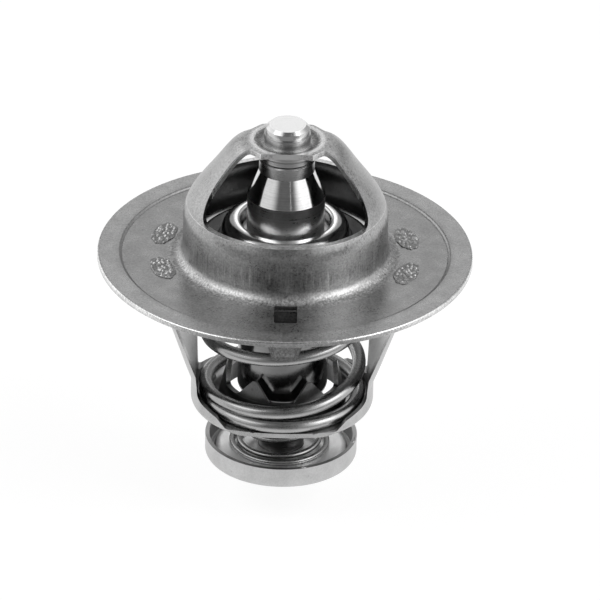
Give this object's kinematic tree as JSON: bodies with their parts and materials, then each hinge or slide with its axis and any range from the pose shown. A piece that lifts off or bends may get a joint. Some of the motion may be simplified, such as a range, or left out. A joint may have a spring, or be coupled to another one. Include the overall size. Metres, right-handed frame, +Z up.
{
  "type": "engine thermostat",
  "caption": "Wax engine thermostat: domed flange and bridge, lifting main valve with its coil spring, and a sprung bypass disc below.",
  "frame": {"origin": "centre of the round flange, in the plane of its outer rim's underside", "axes": "+Z up through the dome and the piston, -Y towards the viewer and the vent slot, +X to the viewer's right"},
  "size_m": [0.054, 0.054, 0.0537],
  "materials": {
    "pressed_steel": "satin",
    "valve_steel": "polished",
    "spring_steel": "satin",
    "piston_steel": "polished",
    "bush_steel": "turned",
    "guide_metal": "polished",
    "cup_metal": "dark gloss",
    "stem_metal": "dark satin",
    "seal_rubber": "matte",
    "hard_seal": "matte",
    "wax": "waxy"
  },
  "bodies": {
    "bridge": {"bridge_flange": "pressed_steel", "spot_welds": "pressed_steel", "lower_frame": "pressed_steel", "piston": "piston_steel", "piston_bush": "bush_steel", "main_spring": "spring_steel"},
    "capsule": {"capsule_guide": "guide_metal", "wax_cup": "cup_metal", "wax_charge": "wax", "diaphragm": "seal_rubber", "rubber_plug": "seal_rubber", "anti_extrusion_washer": "hard_seal", "main_valve": "valve_steel", "bypass_stem": "stem_metal", "stem_clip": "spring_steel", "bypass_spring": "spring_steel"},
    "bypass": {"bypass_disc": "pressed_steel"}
  },
  "joints": [
    {"name": "valve_lift", "type": "slide", "parent": "bridge", "child": "capsule", "axis": [0, 0, -1], "range_m": [0, 0.007], "stiffness_N_per_m": 300, "springref_m": -0.007, "deforming": ["main_spring"]},
    {"name": "bypass_slide", "type": "slide", "parent": "capsule", "child": "bypass", "axis": [0, 0, 1], "range_m": [0, 0.004], "stiffness_N_per_m": 150, "springref_m": -0.008, "deforming": ["bypass_spring"]}
  ]
}
